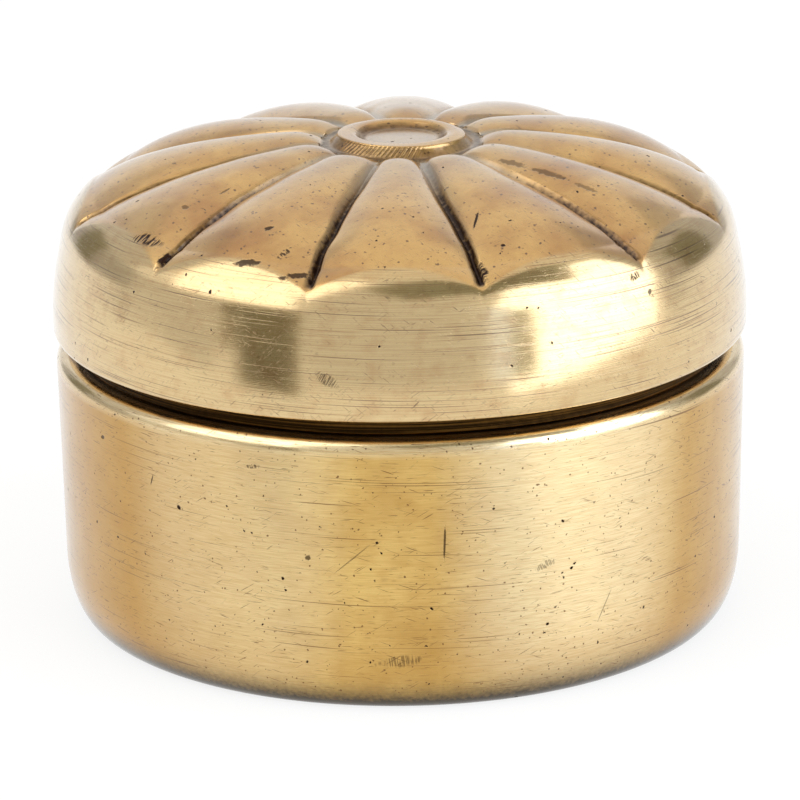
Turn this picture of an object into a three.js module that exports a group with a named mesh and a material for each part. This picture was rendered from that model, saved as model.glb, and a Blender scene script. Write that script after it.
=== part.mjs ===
// A round cast-brass storage pot with a fluted lift-off lid.
// Millimetres, +Z up, origin at the centre of the underside. The lid's front petal faces -Y.

import * as THREE from "three";

// Pot: a cast cup, turned outside, with a rounded foot, a rounded shoulder, a ledge and a neck.
const POT_RADIUS = 50;
const POT_LOW_RADIUS = 49.6; // where the wall starts to turn in towards the underside
const UNDERSIDE_RADIUS = 46;
const FOOT_CURVE_HEIGHT = 9.6;
const LEDGE_HEIGHT = 39.6;
const SHOULDER_ROUND = 1.9;
const NECK_RADIUS = 46.5;
const NECK_WALL = 2.5;
const NECK_TOP = 48.5;
const NECK_LIP_ROUND = 0.8;
const POT_WALL = 3.4;
const POT_FLOOR = 3.8;
const POT_INNER_CORNER = 7;

// Lid: a cast cap that drops over the neck and hangs on the neck's rim, a little clear of the ledge.
const LID_EDGE_HEIGHT = 42.2;
const LID_RADIUS = 50.3;
const LID_EDGE_ROUND = 0.9;
const NECK_CLEARANCE = 0.5; // the lid is a loose fit round the neck
const SEAT_GAP = 0.3;
const SEAT_CHAMFER = 0.5;
const LID_TURN = -0.9; // degrees: how far the lid has been turned on the neck

// Dome: a superellipse, squarer at the shoulder than an ellipse, over a plain turned band.
const DOME_RADIUS = 48.9;
const DOME_BASE_HEIGHT = 53.4;
const DOME_RISE = 17.2;
const DOME_SQUARENESS = 2.5; // the curve's exponent: 2 is an ellipse
const DOME_WALL = 4.3; // measured at the petals' crests

// Petals: grooves cut them apart and run out on the dome's shoulder, above the plain band.
const PETALS = 12;
const GROOVE_DEPTH = 2;
const GROOVE_END_RADIUS = 47;
const GROOVE_RUN_OUT = 14;
const PETAL_ROUNDNESS = 1.9; // 1 is a straight slope from petal to groove, more is a rounder petal
const PETAL_TIP_RADIUS = 11.1;
const PETAL_TIP_LENGTH = 4;
const PETAL_TIP_DIP = 1.5; // how far the petals' rounded inner ends dip towards the boss

// Boss: a low ring with sloping sides round a shallow well.
const BOSS_FOOT_RADIUS = 10.6;
const BOSS_TOP_RADIUS = 8.8;
const BOSS_TOP_HEIGHT = 70.3;
const BOSS_ROUND = 0.5;
const WELL_RADIUS = 6.9;
const WELL_SLOPE = 0.6;
const WELL_DEPTH = 1.3;

// How finely the round surfaces are cut.
const POT_SEGMENTS = 72;
const SEGMENTS_PER_PETAL = 8;
const DOME_STEPS = 15;
const PETAL_TIP_STEPS = 3;
const CEILING_STEPS = 7;
const CORNER_STEPS = 4;
const SMALL_CORNER_STEPS = 3;
const FOOT_STEPS = 8;

const point = (radius, height) => new THREE.Vector2(radius, height);

/** Points along an ellipse's arc in a profile, from one angle to another in degrees, 0 pointing outwards. */
function arc(centreRadius, centreHeight, semiRadius, semiHeight, from, to, steps) {
  const points = [];
  for (let step = 0; step <= steps; step++) {
    const angle = THREE.MathUtils.degToRad(from + ((to - from) * step) / steps);
    const radius = centreRadius + semiRadius * Math.cos(angle);
    points.push(point(radius, centreHeight + semiHeight * Math.sin(angle)));
  }
  return points;
}

/** A rounded corner of one radius in a profile, about its centre. */
const corner = (centreRadius, centreHeight, round, from, to, steps) =>
  arc(centreRadius, centreHeight, round, round, from, to, steps);

/** The point on a dome's curve that lies at an angle in degrees, 0 at its base and 90 at its top. */
function domePoint(degrees, radius, rise) {
  const outward = Math.cos(THREE.MathUtils.degToRad(degrees));
  const upward = Math.sin(THREE.MathUtils.degToRad(degrees));
  const reach = (outward ** DOME_SQUARENESS + upward ** DOME_SQUARENESS) ** (-1 / DOME_SQUARENESS);
  return point(radius * outward * reach, DOME_BASE_HEIGHT + rise * upward * reach);
}

/** 0 at the petals' inner ends beside the boss, 1 where they have reached their full height. */
const petalOpening = (radius) =>
  Math.sqrt(THREE.MathUtils.smoothstep(radius, PETAL_TIP_RADIUS, PETAL_TIP_RADIUS + PETAL_TIP_LENGTH));

/** Height of a petal's crest at a radius from the axis. */
function crestHeight(radius) {
  const share = 1 - (radius / DOME_RADIUS) ** DOME_SQUARENESS;
  const dip = PETAL_TIP_DIP * (1 - petalOpening(radius));
  return DOME_BASE_HEIGHT + DOME_RISE * share ** (1 / DOME_SQUARENESS) - dip;
}

/** How far a groove's floor lies below the crests beside it, at a radius from the axis. */
function grooveDepth(radius) {
  const runOut = THREE.MathUtils.smoothstep(GROOVE_END_RADIUS - radius, 0, GROOVE_RUN_OUT);
  return GROOVE_DEPTH * Math.sqrt(runOut) * petalOpening(radius);
}

/** 0 on a petal's middle line and 1 on the floor of a groove, at an angle from the front. */
function grooveShare(angle) {
  const turn = (angle * PETALS) / (2 * Math.PI);
  const fromMiddle = 2 * Math.abs(turn - Math.round(turn));
  return fromMiddle ** PETAL_ROUNDNESS;
}

/** Turns a closed profile of radius and height about the Z axis, starting at the front. */
const turned = (profile, segments) =>
  new THREE.LatheGeometry(profile, segments, Math.PI).rotateX(Math.PI / 2);

function potBody() {
  const footInset = POT_LOW_RADIUS - UNDERSIDE_RADIUS;
  const innerRadius = POT_LOW_RADIUS - POT_WALL;
  const neckBore = NECK_RADIUS - NECK_WALL;
  const innerCornerHeight = POT_FLOOR + POT_INNER_CORNER;
  const lipHeight = NECK_TOP - NECK_LIP_ROUND;
  const shoulderHeight = LEDGE_HEIGHT - SHOULDER_ROUND;
  const profile = [
    point(0, 0),
    ...arc(UNDERSIDE_RADIUS, FOOT_CURVE_HEIGHT, footInset, FOOT_CURVE_HEIGHT, -90, 0, FOOT_STEPS),
    ...corner(POT_RADIUS - SHOULDER_ROUND, shoulderHeight, SHOULDER_ROUND, 0, 90, CORNER_STEPS),
    point(NECK_RADIUS, LEDGE_HEIGHT),
    ...corner(NECK_RADIUS - NECK_LIP_ROUND, lipHeight, NECK_LIP_ROUND, 0, 90, SMALL_CORNER_STEPS),
    ...corner(neckBore + NECK_LIP_ROUND, lipHeight, NECK_LIP_ROUND, 90, 180, SMALL_CORNER_STEPS),
    point(neckBore, LEDGE_HEIGHT),
    point(innerRadius, LEDGE_HEIGHT - POT_WALL),
    ...corner(innerRadius - POT_INNER_CORNER, innerCornerHeight, POT_INNER_CORNER, 0, -90, CORNER_STEPS),
    point(0, POT_FLOOR),
  ];
  return turned(profile, POT_SEGMENTS);
}

/** The petals' crest line from the plain band up to the boss, ending in the petals' rounded tips. */
function crestLine() {
  const points = [];
  for (let step = 0; step < DOME_STEPS; step++) {
    const { x: radius } = domePoint((90 * step) / DOME_STEPS, DOME_RADIUS, DOME_RISE);
    if (radius > PETAL_TIP_RADIUS + PETAL_TIP_LENGTH) points.push(point(radius, crestHeight(radius)));
  }
  for (let step = PETAL_TIP_STEPS - 1; step >= 0; step--) {
    const radius = PETAL_TIP_RADIUS + (PETAL_TIP_LENGTH * step) / PETAL_TIP_STEPS;
    points.push(point(radius, crestHeight(radius)));
  }
  return points;
}

function lid() {
  const rebateRadius = NECK_RADIUS + NECK_CLEARANCE;
  const seatHeight = NECK_TOP + SEAT_GAP;
  const bore = DOME_RADIUS - DOME_WALL;
  const wellFloor = BOSS_TOP_HEIGHT - WELL_DEPTH;
  const bossRoundHeight = BOSS_TOP_HEIGHT - BOSS_ROUND;
  const edgeHeight = LID_EDGE_HEIGHT + LID_EDGE_ROUND;

  const edge = [
    point(rebateRadius, LID_EDGE_HEIGHT),
    ...corner(LID_RADIUS - LID_EDGE_ROUND, edgeHeight, LID_EDGE_ROUND, -90, 0, SMALL_CORNER_STEPS),
  ];
  const crests = crestLine();
  const boss = [
    point(BOSS_FOOT_RADIUS, crestHeight(PETAL_TIP_RADIUS)),
    ...corner(BOSS_TOP_RADIUS - BOSS_ROUND, bossRoundHeight, BOSS_ROUND, 30, 90, SMALL_CORNER_STEPS),
    ...corner(WELL_RADIUS + BOSS_ROUND, bossRoundHeight, BOSS_ROUND, 90, 150, SMALL_CORNER_STEPS),
    point(WELL_RADIUS - WELL_SLOPE, wellFloor),
    point(0, wellFloor),
  ];
  const ceiling = [point(0, DOME_BASE_HEIGHT + DOME_RISE - DOME_WALL)];
  for (let step = CEILING_STEPS - 1; step >= 0; step--) {
    ceiling.push(domePoint((90 * step) / CEILING_STEPS, bore, DOME_RISE - DOME_WALL));
  }
  const seat = [
    point(bore, seatHeight + SEAT_CHAMFER),
    point(bore + SEAT_CHAMFER, seatHeight),
    point(rebateRadius, seatHeight),
    point(rebateRadius, LID_EDGE_HEIGHT),
  ];
  const profile = [...edge, ...crests, ...boss, ...ceiling, ...seat];
  const geometry = turned(profile, PETALS * SEGMENTS_PER_PETAL);

  // Press the grooves into the points of the crest line.
  const position = geometry.getAttribute("position");
  for (let vertex = 0; vertex < position.count; vertex++) {
    const alongCrests = (vertex % profile.length) - edge.length;
    if (alongCrests < 0 || alongCrests >= crests.length) continue;
    const x = position.getX(vertex);
    const y = position.getY(vertex);
    const drop = grooveDepth(Math.hypot(x, y)) * grooveShare(Math.atan2(x, -y));
    position.setZ(vertex, position.getZ(vertex) - drop);
  }
  return geometry;
}

const turnedBrass = new THREE.MeshStandardMaterial({ color: 0xd3b06a, metalness: 1, roughness: 0.34 });
const rubbedBrass = new THREE.MeshStandardMaterial({ color: 0xc79a5c, metalness: 1, roughness: 0.26 });

const pot = new THREE.Group();

const bodyMesh = new THREE.Mesh(potBody(), turnedBrass);
bodyMesh.name = "pot_body";
pot.add(bodyMesh);

const lidMesh = new THREE.Mesh(lid(), rubbedBrass);
lidMesh.name = "lid";
lidMesh.rotation.z = THREE.MathUtils.degToRad(LID_TURN);
pot.add(lidMesh);

export default pot;
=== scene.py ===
"""Looks of a cast-brass storage pot with a fluted lift-off lid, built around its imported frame.

Sizes are in millimetres in the frame's axes (+Z up, -Y the front) and angles are in degrees, measured
from the front and positive towards +X, unless a name says otherwise.
"""

import logging
import math
from dataclasses import dataclass, field
from enum import IntEnum
from typing import Any

import bmesh
import bpy
from mathutils import Matrix, Quaternion, Vector, noise


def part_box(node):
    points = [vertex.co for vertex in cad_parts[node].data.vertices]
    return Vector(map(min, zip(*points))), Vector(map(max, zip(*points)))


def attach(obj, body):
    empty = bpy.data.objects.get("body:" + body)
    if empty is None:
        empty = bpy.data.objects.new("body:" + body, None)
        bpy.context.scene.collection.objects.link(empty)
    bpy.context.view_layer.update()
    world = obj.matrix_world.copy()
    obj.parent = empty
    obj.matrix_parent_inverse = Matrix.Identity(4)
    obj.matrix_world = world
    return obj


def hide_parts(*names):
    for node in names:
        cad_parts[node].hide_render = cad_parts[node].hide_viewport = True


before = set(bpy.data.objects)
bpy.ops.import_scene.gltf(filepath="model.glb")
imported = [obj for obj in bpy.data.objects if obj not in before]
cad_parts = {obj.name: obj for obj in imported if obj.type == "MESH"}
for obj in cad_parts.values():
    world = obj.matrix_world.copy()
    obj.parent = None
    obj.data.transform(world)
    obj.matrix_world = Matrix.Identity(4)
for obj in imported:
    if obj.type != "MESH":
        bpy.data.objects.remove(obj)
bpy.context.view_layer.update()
MM = 0.001
Pair = tuple[float, float]
log = logging.getLogger("storage_pot")


def linear(hex_colour: str) -> tuple[float, float, float, float]:
    """Turns an sRGB hex colour into the linear colour that a shader reads.

    Args:
        hex_colour: six hex digits.

    Returns:
        Red, green, blue and an alpha of 1.
    """
    channels = (int(hex_colour[i:i + 2], 16) / 255 for i in (0, 2, 4))
    red, green, blue = (c / 12.92 if c <= 0.04045 else ((c + 0.055) / 1.055) ** 2.4 for c in channels)
    return red, green, blue, 1.0


def smoothstep(low: float, high: float, value: float) -> float:
    """Rises smoothly from 0 at low to 1 at high; low may be the larger one."""
    share = min(max((value - low) / (high - low), 0.0), 1.0)
    return share * share * (3 - 2 * share)


def mix(start: float, end: float, share: float) -> float:
    """The value that lies a share of the way from start to end."""
    return start + (end - start) * share


def towards(azimuth: float, elevation: float) -> Vector:
    """The direction from the pot at an angle from the front and an angle above the horizon."""
    across, up = math.radians(azimuth), math.radians(elevation)
    return Vector((math.sin(across) * math.cos(up), -math.cos(across) * math.cos(up), math.sin(up)))


def add(tree: bpy.types.NodeTree, kind: str, inputs: dict[Any, Any] | None = None, output: Any = 0,
        **settings: Any) -> Any:
    """Adds a node with its settings and links.

    Args:
        tree: the tree that gets it.
        kind: the node's type, without ShaderNode.
        inputs: a value, or a socket to link, for each input by name or index.
        output: name or index of the output to return.
        settings: the node's own properties.

    Returns:
        The chosen output, or None for a node that has no outputs.
    """
    node = tree.nodes.new("ShaderNode" + kind)
    for key, value in settings.items():
        setattr(node, key, value)
    for key, value in (inputs or {}).items():
        if isinstance(value, bpy.types.NodeSocket):
            tree.links.new(value, node.inputs[key])
        else:
            node.inputs[key].default_value = value
    return node.outputs[output] if len(node.outputs) else None


def strongest(tree: bpy.types.NodeTree, *patterns: Any) -> Any:
    """Joins patterns in a tree, keeping the strongest at each point."""
    joined, *others = patterns
    for pattern in others:
        joined = add(tree, "Math", {0: joined, 1: pattern}, operation="MAXIMUM")
    return joined


def cleared(owner: Any) -> bpy.types.NodeTree:
    """Gives a material or a world an empty node tree."""
    owner.use_nodes = True
    owner.node_tree.nodes.clear()
    return owner.node_tree


def placed(name: str, data: Any) -> bpy.types.Object:
    """Links an object of a mesh, lamp or camera to the scene."""
    thing = bpy.data.objects.new(name, data)
    bpy.context.scene.collection.objects.link(thing)
    return thing


def linked(bm: bmesh.types.BMesh, name: str, *materials: bpy.types.Material) -> bpy.types.Object:
    """Turns a bmesh into an object at the origin.

    Args:
        bm: the mesh, which is freed.
        name: the object's name.
        materials: its materials, in the order of the faces' indices.

    Returns:
        The linked object.
    """
    mesh = bpy.data.meshes.new(name)
    bm.to_mesh(mesh)
    bm.free()
    for material in materials:
        mesh.materials.append(material)
    return placed(name, mesh)


class Zone(IntEnum):
    """The parts of a turned outline that are shaped or finished in their own way."""

    WALL = 0
    RECESS = 1
    INSIDE = 2
    BAND = 3
    DOME = 4
    BOSS = 5


@dataclass(frozen=True)
class Station:
    """A point of an outline.

    Attributes:
        radius: distance from the axis.
        height: height above the underside.
        zone: the part of the outline that it belongs to.
        run: distance along the outline from where the grooves end, used on the dome.
    """

    radius: float
    height: float
    zone: Zone
    run: float = 0.0


@dataclass
class Outline:
    """A profile that is turned about the Z axis.

    Attributes:
        stations: its points in order.
    """

    stations: list[Station] = field(default_factory=list)

    def at(self, radius: float, height: float, zone: Zone, run: float = 0.0) -> None:
        """Adds one point."""
        self.stations.append(Station(radius, height, zone, run))

    def to(self, radius: float, height: float, zone: Zone, step: float = 1.5) -> None:
        """Adds a straight stretch from the last point, with close points at both ends.

        Args:
            radius: radius of its end.
            height: height of its end.
            zone: zone of the new points.
            step: longest distance between points.
        """
        start = self.stations[-1]
        length = math.dist((start.radius, start.height), (radius, height))
        ease = 0.25
        count = max(1, math.ceil((length - 2 * ease) / step))
        inner = [mix(ease, length - ease, index / count) for index in range(count + 1)]
        for run in [*(inner if length > 4 * ease else []), length]:
            share = run / length
            self.at(mix(start.radius, radius, share), mix(start.height, height, share), zone)

    def arc(self, centre: Pair, semi: Pair, start: float, stop: float, zone: Zone, steps: int) -> None:
        """Adds an arc of an ellipse.

        Args:
            centre: radius and height of its centre.
            semi: its half sizes along radius and height.
            start: first angle, in degrees from outwards.
            stop: last angle.
            zone: zone of the new points.
            steps: number of stretches in it.
        """
        for index in range(steps + 1):
            angle = math.radians(mix(start, stop, index / steps))
            self.at(centre[0] + semi[0] * math.cos(angle), centre[1] + semi[1] * math.sin(angle), zone)

    def turned(self, steps: int) -> bmesh.types.BMesh:
        """Spins the outline into a closed solid.

        Args:
            steps: number of steps round the axis.

        Returns:
            The solid, with each vertex's zone and run in layers of those names.
        """
        bm = bmesh.new()
        zones = bm.verts.layers.float.new("zone")
        runs = bm.verts.layers.float.new("run")
        line = []
        for station in self.stations:
            vert = bm.verts.new((0.0, -station.radius * MM, station.height * MM))
            vert[zones] = float(station.zone)
            vert[runs] = station.run
            line.append(vert)
        edges = [bm.edges.new(pair) for pair in zip(line, line[1:])]
        bmesh.ops.spin(bm, geom=line + edges, cent=(0, 0, 0), axis=(0, 0, 1), angle=math.tau,
                       steps=steps, use_merge=True)
        bmesh.ops.remove_doubles(bm, verts=bm.verts, dist=1e-4 * MM)
        bmesh.ops.recalc_face_normals(bm, faces=bm.faces)
        bm.normal_update()
        return bm


def finished(bm: bmesh.types.BMesh, name: str, outside: bpy.types.Material,
             hidden: dict[Zone, bpy.types.Material]) -> bpy.types.Object:
    """Turns a bmesh into a smooth piece, with some zones in finishes of their own.

    Args:
        bm: the mesh, which is freed.
        name: the piece's name.
        outside: material of what a polishing wheel reaches.
        hidden: material of each zone that it doesn't reach.

    Returns:
        The piece.
    """
    zones = bm.verts.layers.float["zone"]
    for face in bm.faces:
        face.smooth = True
        for index, zone in enumerate(hidden, 1):
            if all(round(vert[zones]) == zone for vert in face.verts):
                face.material_index = index
    return linked(bm, name, outside, *hidden.values())


@dataclass(frozen=True)
class Mark:
    """A nick, a stain or a patch of file strokes that lies at one place.

    Attributes:
        azimuth: angle of its middle from the front.
        radius: distance of its middle from the axis.
        height: height of its middle above the underside.
        length: half its length.
        width: half its width.
        turn: how far its length is turned, upwards on a wall or inwards on the dome.
        strokes: spacing of the strokes across it, or 0 for a mark in one piece.
        ragged: how uneven its outline is, as a share of its size.
        strength: how dark it is, from 0 to 1.
        on_dome: whether it lies on the lid's dome and not on an upright wall.
        reach: how far it reaches into and out of the surface, so that it is on it all over.
    """

    azimuth: float
    radius: float
    height: float
    length: float
    width: float
    turn: float = 0.0
    strokes: float = 0.0
    ragged: float = 0.25
    strength: float = 0.8
    on_dome: bool = False
    reach: float = 3.0


@dataclass
class Brass:
    """Cast brass: a warm yellow metal. This builds one finish of it on Object coordinates in millimetres.

    Attributes:
        name: the finish's name.
        girth: radius of the wall whose sides are told apart.
        wax_roughness: roughness of the film of wax on it.
        wax_loss: share of that film that is missing on patina.
    """

    name: str
    girth: float = 50.0
    wax_roughness: float = 0.14
    wax_loss: float = 0.8

    def __post_init__(self) -> None:
        """Starts the material with an empty tree."""
        self.material = bpy.data.materials.new(self.name)
        self.tree = cleared(self.material)
        metres = add(self.tree, "TexCoord", output="Object")
        self.place = add(self.tree, "VectorMath", {0: metres, "Scale": 1 / MM}, operation="SCALE")

    def scratches(self, length: float, width: float, low: float, high: float,
                  climb: Pair = (0.0, 0.0), seed: float = 0.0) -> Any:
        """Scratches that run round the axis, left by turning and rubbing.

        Real ones are only hundredths of a millimetre wide. These are drawn as coarse as they need to show.

        Args:
            length: their length.
            width: their width.
            low: noise value that gives 0.
            high: noise value that gives 1.
            climb: how far they climb per millimetre along X and Y.
            seed: offset that gives another set.

        Returns:
            1 on a scratch and 0 off it, with soft edges.
        """
        tree = self.tree
        slant = (*climb, 1.0)
        height = add(tree, "VectorMath", {0: self.place, 1: slant}, "Value", operation="DOT_PRODUCT")
        across = add(tree, "Math", {0: height, 1: 1 / width, 2: seed}, operation="MULTIPLY_ADD")
        offset = add(tree, "CombineXYZ", {"X": seed, "Y": seed, "Z": across})
        long = add(tree, "VectorMath", {0: self.place, 1: (1 / length, 1 / length, 0.0), 2: offset},
                   operation="MULTIPLY_ADD")
        grain = add(tree, "TexNoise", {"Vector": long, "Scale": 1.0, "Detail": 1.0}, "Fac")
        return add(tree, "MapRange", {"Value": grain, "From Min": low, "From Max": high}, "Result")

    def pits(self, spacing: float, radius: float, seed: float = 0.0) -> Any:
        """Small casting pits.

        Args:
            spacing: size of the cell that holds one pit.
            radius: the largest pit's radius.
            seed: offset that gives another set.

        Returns:
            1 in a pit and 0 outside it.
        """
        tree = self.tree
        moved = add(tree, "VectorMath", {0: self.place, 1: (seed,) * 3}, operation="ADD")
        # Noise as fine as a pit makes its edge ragged.
        ragged = add(tree, "TexNoise", {"Vector": moved, "Scale": 0.6 / radius}, "Color")
        push = (2 * radius,) * 3
        pushed = add(tree, "VectorMath", {0: ragged, 1: push, 2: moved}, operation="MULTIPLY_ADD")
        cell = add(tree, "TexVoronoi", {"Vector": pushed, "Scale": 1 / spacing}, "Distance")
        # Noise about as coarse as the cells sets each pit's size and leaves many cells empty.
        spread = add(tree, "TexNoise", {"Vector": moved, "Scale": 0.9 / spacing, "Detail": 0.0}, "Fac")
        size = radius / spacing
        grown = {"Value": spread, "From Min": 0.35, "From Max": 0.7, "To Max": size}
        reach = add(tree, "MapRange", grown, "Result")
        inside = add(tree, "Math", {0: reach, 1: cell}, operation="SUBTRACT")
        return add(tree, "MapRange", {"Value": inside, "From Max": 0.3 * size}, "Result")

    def patches(self, size: float, low: float, high: float, detail: float = 3.0, seed: float = 0.0) -> Any:
        """Soft patches.

        Args:
            size: their size.
            low: noise value that gives 0.
            high: noise value that gives 1.
            detail: how broken up they are.
            seed: offset that gives another set.

        Returns:
            0 between the patches and 1 in them.
        """
        tree = self.tree
        moved = add(tree, "VectorMath", {0: self.place, 1: (seed,) * 3}, operation="ADD")
        cloud = add(tree, "TexNoise", {"Vector": moved, "Scale": 1 / size, "Detail": detail}, "Fac")
        return add(tree, "MapRange", {"Value": cloud, "From Min": low, "From Max": high}, "Result")

    def mark(self, mark: Mark) -> Any:
        """One mark.

        Args:
            mark: where it lies and what it looks like.

        Returns:
            Its strength inside it and 0 outside it.
        """
        tree = self.tree
        centre = towards(mark.azimuth, 0) * mark.radius
        centre.z = mark.height
        across, turn = math.radians(mark.azimuth), math.radians(mark.turn)
        angles = (0.0, -turn, across)
        sizes = (mark.length, mark.reach, mark.width)
        if mark.on_dome:
            angles = (0.0, 0.0, across + turn)
            sizes = (mark.length, mark.width, mark.reach)
        local = add(tree, "Mapping", {"Vector": self.place, "Location": centre, "Rotation": angles,
                                      "Scale": sizes}, vector_type="TEXTURE")
        away = add(tree, "VectorMath", {0: local}, "Value", operation="LENGTH")
        crumbs = {"Vector": self.place, "Scale": 0.8 / mark.width, "Detail": 4.0}
        uneven = add(tree, "TexNoise", crumbs, "Fac")
        away = add(tree, "Math", {0: uneven, 1: 2 * mark.ragged, 2: away}, operation="MULTIPLY_ADD")
        edge = {"Value": away, "From Min": 1.05 + mark.ragged, "From Max": 0.7 + mark.ragged}
        inside = add(tree, "MapRange", {**edge, "To Max": mark.strength}, "Result")
        if not mark.strokes:
            return inside
        # The strokes are stretched noise: close along the mark's length and long across it.
        spread = (mark.length / mark.strokes, 0.25, 0.25)
        across = add(tree, "VectorMath", {0: local, 1: spread}, operation="MULTIPLY")
        lines = add(tree, "TexNoise", {"Vector": across, "Scale": 1.0, "Detail": 1.0}, "Fac")
        lines = add(tree, "MapRange", {"Value": lines, "From Min": 0.46, "From Max": 0.53}, "Result")
        return add(tree, "Math", {0: inside, 1: lines}, operation="MULTIPLY")

    def layered(self, lowest: Any, *layers: tuple[Any, float, str]) -> Any:
        """Lays colours over one another.

        Args:
            lowest: the lowest colour, as sRGB hex or a socket.
            layers: pattern, strength and sRGB hex of each colour above it, from the lowest up.

        Returns:
            The joined colour.
        """
        joined = linear(lowest) if isinstance(lowest, str) else lowest
        for pattern, strength, over in layers:
            share = add(self.tree, "Math", {0: pattern, 1: strength}, operation="MULTIPLY")
            joined = add(self.tree, "MixRGB", {"Fac": share, "Color1": joined, "Color2": linear(over)})
        return joined

    def facing(self, azimuth: float, low: float, high: float, most: float) -> Any:
        """The side of the object that faces one way, with soft edges, used to paint light and shade by
        side.

        Args:
            azimuth: which way, from the front.
            low: share of the full turn towards it that gives 0.
            high: share that gives the most.
            most: the highest value.

        Returns:
            0 away from that side, up to the most on it.
        """
        side = towards(azimuth, 0) / self.girth
        turned = add(self.tree, "VectorMath", {0: self.place, 1: side}, "Value", operation="DOT_PRODUCT")
        reach = {"Value": turned, "From Min": low, "From Max": high, "To Max": most}
        return add(self.tree, "MapRange", reach, "Result", interpolation_type="SMOOTHSTEP")

    def film(self, dark_patina_and_shade: Any) -> Any:
        """Weight of the clear film of wax, which whitens brass towards its outline but not where patina and
        painted shade darken it.
        """
        return add(self.tree, "Math", {0: dark_patina_and_shade, 1: -self.wax_loss, 2: 1.0}, operation="MULTIPLY_ADD")

    def done(self, colour: Any, roughness: Any, dents: list[tuple[Any, float]], wax: Any = 0.0,
             wax_ior: float = 1.5, brushed: float = 0.0) -> bpy.types.Material:
        """Joins colour, roughness and dents in a metal surface.

        Args:
            colour: base colour.
            roughness: roughness.
            dents: the patterns that are pressed into it, each with its depth.
            wax: weight of the film of wax on it, a number or a pattern.
            wax_ior: that film's index of refraction; hard old wax with dust in it mirrors more than new.
            brushed: how much its scratches round the axis draw reflections out up and down.

        Returns:
            The finished material.
        """
        normal: dict[str, Any] = {}
        for pattern, depth in dents:
            inputs = {"Height": pattern, "Distance": depth * MM, **normal}
            normal = {"Normal": add(self.tree, "Bump", inputs, invert=True)}
        inputs = {"Base Color": colour, "Metallic": 1.0, "Roughness": roughness, "Coat Weight": wax,
                  "Coat Roughness": self.wax_roughness, "Coat IOR": wax_ior, **normal,
                  "Coat Normal": normal["Normal"]}
        if brushed:
            # A quarter turn from the scratches' own direction.
            inputs.update({"Anisotropic": brushed, "Anisotropic Rotation": 0.25})
            inputs["Tangent"] = add(self.tree, "Tangent", direction_type="RADIAL", axis="Z")
        surface = add(self.tree, "BsdfPrincipled", inputs)
        add(self.tree, "OutputMaterial", {"Surface": surface})
        return self.material


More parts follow.
